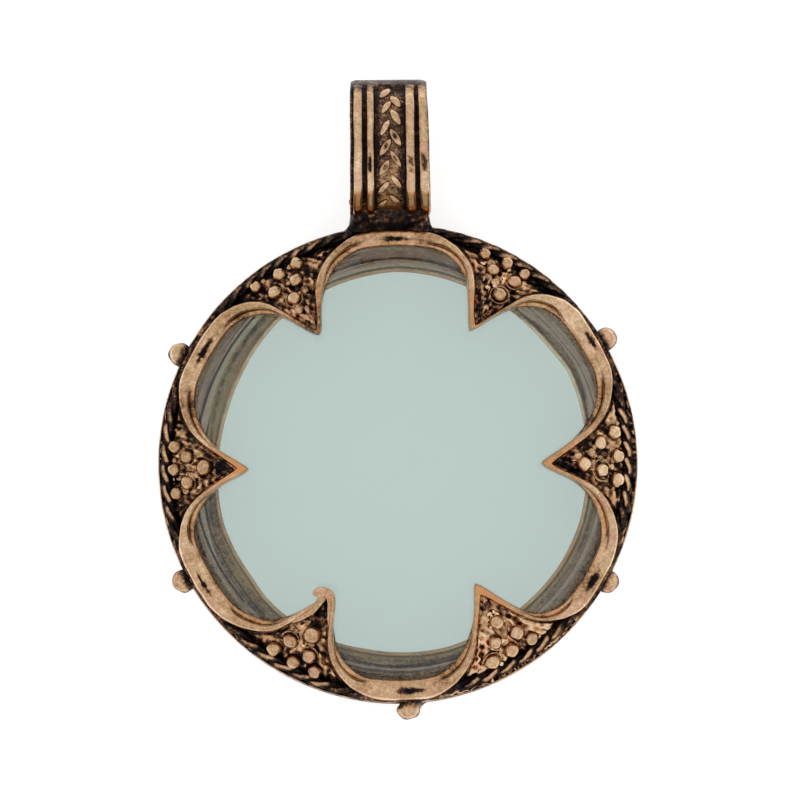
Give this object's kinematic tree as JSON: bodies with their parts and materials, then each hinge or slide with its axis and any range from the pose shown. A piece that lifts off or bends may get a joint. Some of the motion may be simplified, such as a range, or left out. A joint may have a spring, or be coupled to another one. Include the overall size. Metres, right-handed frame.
{
  "type": "crystal pendant",
  "caption": "Round pendant: a thick clear crystal held by six pointed claws in a granulated dark bronze setting, with a strap bail for a cord.",
  "frame": {"origin": "on the back plane, midway between the lowest edge bead and the top of the bail", "axes": "+X across the pendant, +Y towards the bail, +Z out of its front; it lies on its back"},
  "size_m": [0.04, 0.0535, 0.0107],
  "materials": {
    "bronze": "cast bronze, blackened in the hollows and rubbed bright on the high spots",
    "crystal": "polished clear crystal"
  },
  "bodies": {
    "root": {"setting": "bronze", "crystal": "crystal"}
  },
  "joints": []
}
